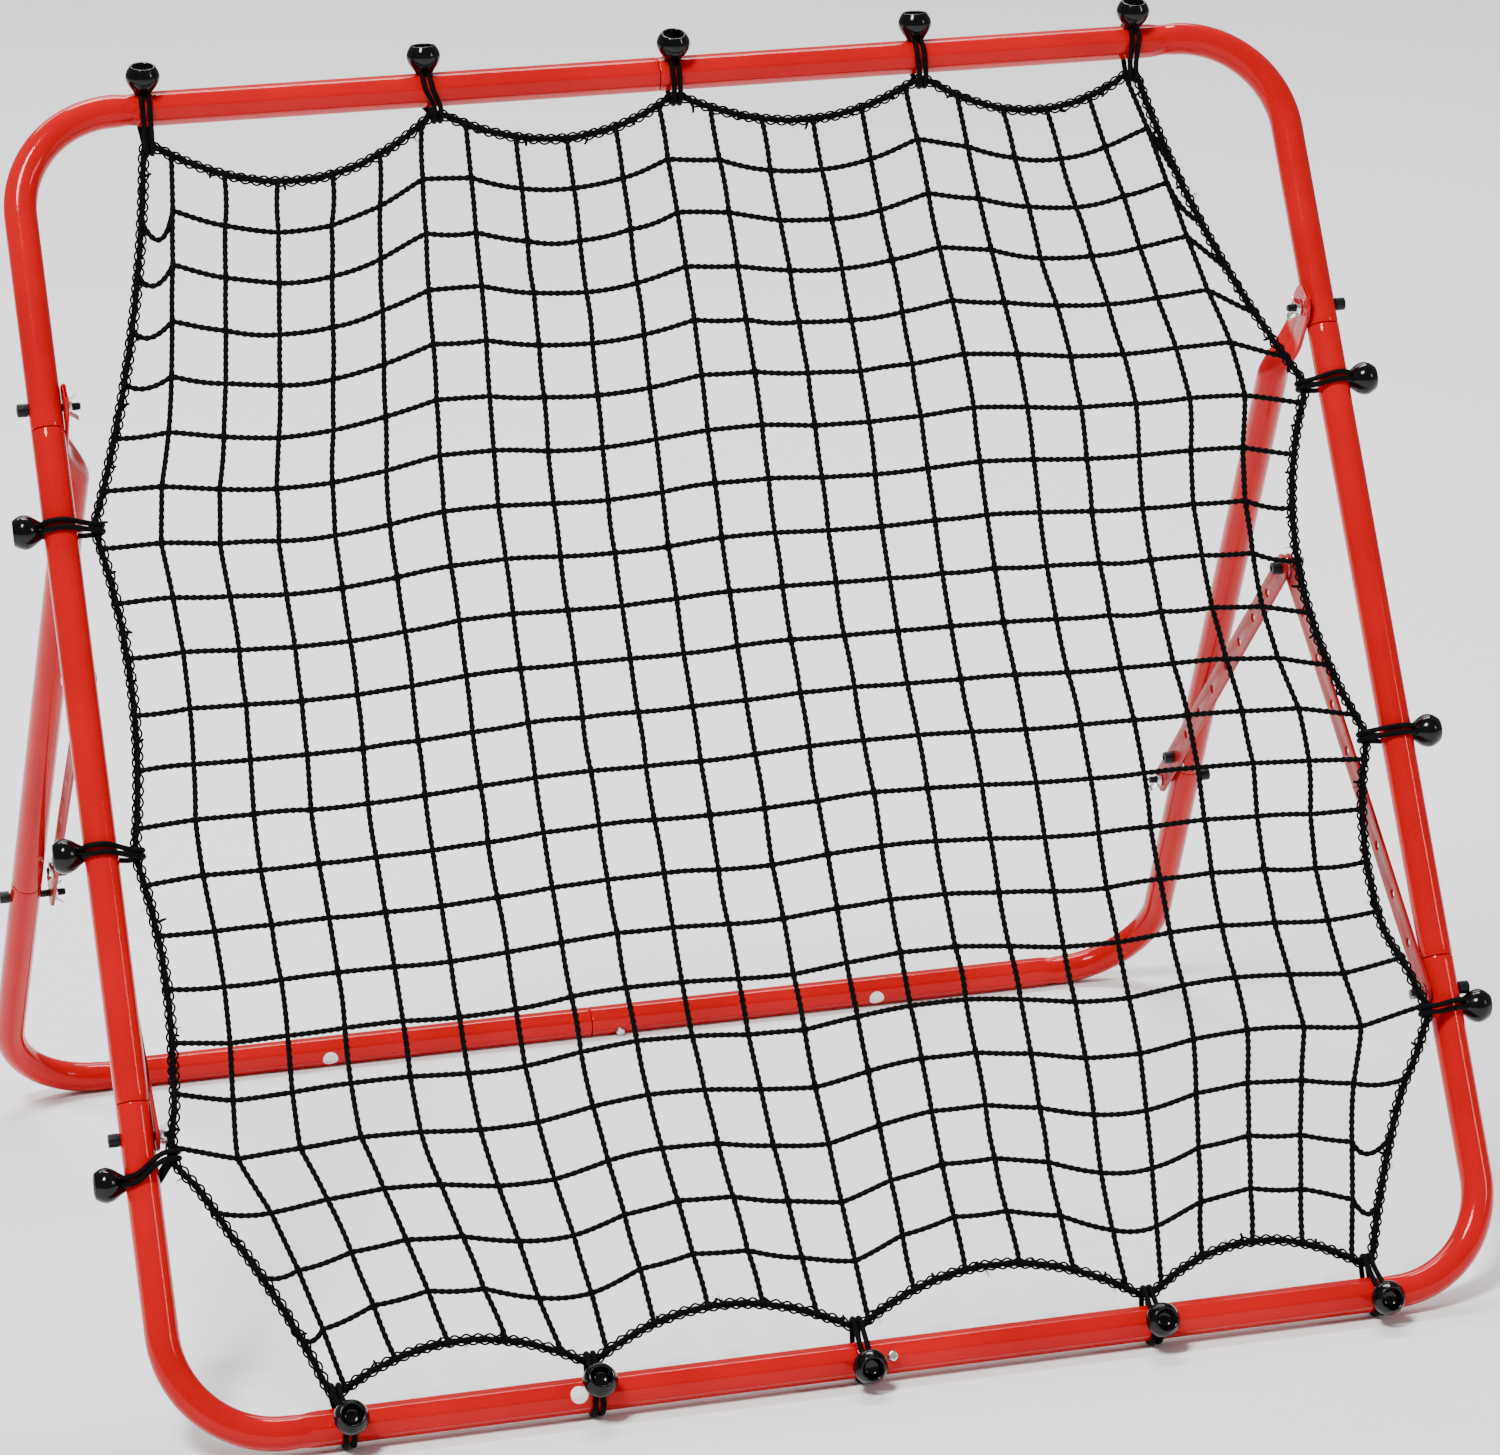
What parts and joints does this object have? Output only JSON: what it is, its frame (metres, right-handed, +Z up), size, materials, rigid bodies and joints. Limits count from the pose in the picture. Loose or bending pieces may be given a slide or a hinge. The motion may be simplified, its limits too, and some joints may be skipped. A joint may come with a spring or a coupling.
{
  "type": "pitch back rebounder",
  "caption": "Upright sports net on a square tube frame with ball bungees, leaning back on a hinged U stand braced by perforated straps, that bounces a thrown ball back.",
  "frame": {"origin": "on the ground, under the centre of the bounding box of the whole object", "axes": "+Z up; -Y towards the player, the way the net faces; +X to the right as the player sees it"},
  "size_m": [1.07, 0.9014, 0.9316],
  "materials": {
    "red_paint": "glossy red powder coat on steel tube",
    "strap_paint": "semi-gloss red paint on flat steel",
    "black_bolt": "black coated steel, satin",
    "zinc_plate": "bright zinc plate",
    "net_twine": "black braided twine, matte with a slight sheen",
    "elastic_and_ball": "black elastic cord and glossy black balls"
  },
  "bodies": {
    "front_frame": {"frame_top_left_corner": "red_paint", "frame_left_upright": "red_paint", "frame_bottom_left_corner": "red_paint", "frame_top_right_corner": "red_paint", "frame_right_upright": "red_paint", "frame_bottom_right_corner": "red_paint", "top_joint_leaf_spring": "zinc_plate", "bottom_joint_leaf_spring": "zinc_plate", "net": "net_twine", "net_edge_rope": "net_twine", "ball_bungee_top_1": "elastic_and_ball", "ball_bungee_top_2": "elastic_and_ball", "ball_bungee_top_3": "elastic_and_ball", "ball_bungee_top_4": "elastic_and_ball", "ball_bungee_top_5": "elastic_and_ball", "ball_bungee_right_1": "elastic_and_ball", "ball_bungee_right_2": "elastic_and_ball", "ball_bungee_right_3": "elastic_and_ball", "ball_bungee_bottom_1": "elastic_and_ball", "ball_bungee_bottom_2": "elastic_and_ball", "ball_bungee_bottom_3": "elastic_and_ball", "ball_bungee_bottom_4": "elastic_and_ball", "ball_bungee_bottom_5": "elastic_and_ball", "ball_bungee_left_1": "elastic_and_ball", "ball_bungee_left_2": "elastic_and_ball", "ball_bungee_left_3": "elastic_and_ball", "left_front_strap_bolt": "black_bolt", "right_front_strap_bolt": "black_bolt"},
    "stand": {"stand_left_leg": "red_paint", "stand_left_foot": "red_paint", "stand_right_leg": "red_paint", "stand_right_foot": "red_paint", "base_joint_leaf_spring": "zinc_plate", "left_pivot_bolt": "black_bolt", "left_rear_strap_bolt": "black_bolt", "right_pivot_bolt": "black_bolt", "right_rear_strap_bolt": "black_bolt"},
    "left_front_brace": {"left_front_strap": "strap_paint"},
    "left_rear_brace": {"left_rear_strap": "strap_paint", "left_stop_bolt": "black_bolt", "left_elbow_bolt": "black_bolt", "left_elbow_spacer": "zinc_plate"},
    "right_front_brace": {"right_front_strap": "strap_paint"},
    "right_rear_brace": {"right_rear_strap": "strap_paint", "right_stop_bolt": "black_bolt", "right_elbow_bolt": "black_bolt", "right_elbow_spacer": "zinc_plate"},
    "left_pivot_nut": {"left_pivot_wing_nut": "zinc_plate"},
    "left_front_strap_nut": {"left_front_strap_wing_nut": "zinc_plate"},
    "left_rear_strap_nut": {"left_rear_strap_wing_nut": "zinc_plate"},
    "left_stop_nut": {"left_stop_wing_nut": "zinc_plate"},
    "left_elbow_nut": {"left_elbow_wing_nut": "zinc_plate"},
    "right_pivot_nut": {"right_pivot_wing_nut": "zinc_plate"},
    "right_front_strap_nut": {"right_front_strap_wing_nut": "zinc_plate"},
    "right_rear_strap_nut": {"right_rear_strap_wing_nut": "zinc_plate"},
    "right_stop_nut": {"right_stop_wing_nut": "zinc_plate"},
    "right_elbow_nut": {"right_elbow_wing_nut": "zinc_plate"},
    "top_snap_button": {"top_joint_button": "zinc_plate"},
    "bottom_snap_button": {"bottom_joint_button": "zinc_plate"},
    "base_snap_button": {"base_joint_button": "zinc_plate"}
  },
  "joints": [
    {"name": "stand_fold", "type": "hinge", "parent": "front_frame", "child": "stand", "pos_m": [0, -0.04789, 0.69609], "axis": [-1, 0, 0], "range_deg": [0, 24]},
    {"name": "left_front_brace_swing", "type": "hinge", "parent": "front_frame", "child": "left_front_brace", "pos_m": [0, -0.30901, 0.21316], "axis": [1, 0, 0], "range_deg": [0, 6.08]},
    {"name": "left_rear_brace_swing", "type": "hinge", "parent": "stand", "child": "left_rear_brace", "pos_m": [0, 0.28691, 0.22529], "axis": [-1, 0, 0], "range_deg": [0, 9.44]},
    {"name": "right_front_brace_swing", "type": "hinge", "parent": "front_frame", "child": "right_front_brace", "pos_m": [0, -0.30901, 0.21316], "axis": [1, 0, 0], "range_deg": [0, 6.08]},
    {"name": "right_rear_brace_swing", "type": "hinge", "parent": "stand", "child": "right_rear_brace", "pos_m": [0, 0.28691, 0.22529], "axis": [-1, 0, 0], "range_deg": [0, 9.44]},
    {"name": "left_pivot_nut_turn", "type": "hinge", "parent": "stand", "child": "left_pivot_nut", "pos_m": [-0.4837, -0.04789, 0.69609], "axis": [1, 0, 0], "continuous": true},
    {"name": "left_front_strap_nut_turn", "type": "hinge", "parent": "front_frame", "child": "left_front_strap_nut", "pos_m": [-0.4844, -0.30901, 0.21316], "axis": [1, 0, 0], "continuous": true},
    {"name": "left_rear_strap_nut_turn", "type": "hinge", "parent": "stand", "child": "left_rear_strap_nut", "pos_m": [-0.4787, 0.28691, 0.22529], "axis": [1, 0, 0], "continuous": true},
    {"name": "left_stop_nut_turn", "type": "hinge", "parent": "left_rear_brace", "child": "left_stop_nut", "pos_m": [-0.4818, 0.25321, 0.25359], "axis": [1, 0, 0], "continuous": true},
    {"name": "left_elbow_nut_turn", "type": "hinge", "parent": "left_front_brace", "child": "left_elbow_nut", "pos_m": [-0.4875, -0.01636, 0.47994], "axis": [1, 0, 0], "continuous": true},
    {"name": "right_pivot_nut_turn", "type": "hinge", "parent": "stand", "child": "right_pivot_nut", "pos_m": [0.4837, -0.04789, 0.69609], "axis": [1, 0, 0], "continuous": true},
    {"name": "right_front_strap_nut_turn", "type": "hinge", "parent": "front_frame", "child": "right_front_strap_nut", "pos_m": [0.4844, -0.30901, 0.21316], "axis": [1, 0, 0], "continuous": true},
    {"name": "right_rear_strap_nut_turn", "type": "hinge", "parent": "stand", "child": "right_rear_strap_nut", "pos_m": [0.4787, 0.28691, 0.22529], "axis": [1, 0, 0], "continuous": true},
    {"name": "right_stop_nut_turn", "type": "hinge", "parent": "right_rear_brace", "child": "right_stop_nut", "pos_m": [0.4818, 0.25321, 0.25359], "axis": [1, 0, 0], "continuous": true},
    {"name": "right_elbow_nut_turn", "type": "hinge", "parent": "right_front_brace", "child": "right_elbow_nut", "pos_m": [0.4875, -0.01636, 0.47994], "axis": [1, 0, 0], "continuous": true},
    {"name": "top_button_press", "type": "slide", "parent": "front_frame", "child": "top_snap_button", "axis": [0, -0.8796, 0.4756], "range_m": [0, 0.004], "stiffness_N_per_m": 2000, "springref_m": -0.001, "deforming": ["top_joint_leaf_spring"]},
    {"name": "bottom_button_press", "type": "slide", "parent": "front_frame", "child": "bottom_snap_button", "axis": [0, 0.9239, -0.3827], "range_m": [0, 0.004], "stiffness_N_per_m": 2000, "springref_m": -0.001, "deforming": ["bottom_joint_leaf_spring"]},
    {"name": "base_button_press", "type": "slide", "parent": "stand", "child": "base_snap_button", "axis": [0, 0.8192, 0.5736], "range_m": [0, 0.004], "stiffness_N_per_m": 2000, "springref_m": -0.001, "deforming": ["base_joint_leaf_spring"]}
  ],
  "couplings": [
    {"joint": "left_front_brace_swing", "follows": "stand_fold", "ratio": 0.25332},
    {"joint": "left_rear_brace_swing", "follows": "stand_fold", "ratio": 0.39336},
    {"joint": "right_front_brace_swing", "follows": "stand_fold", "ratio": 0.25332},
    {"joint": "right_rear_brace_swing", "follows": "stand_fold", "ratio": 0.39336}
  ]
}
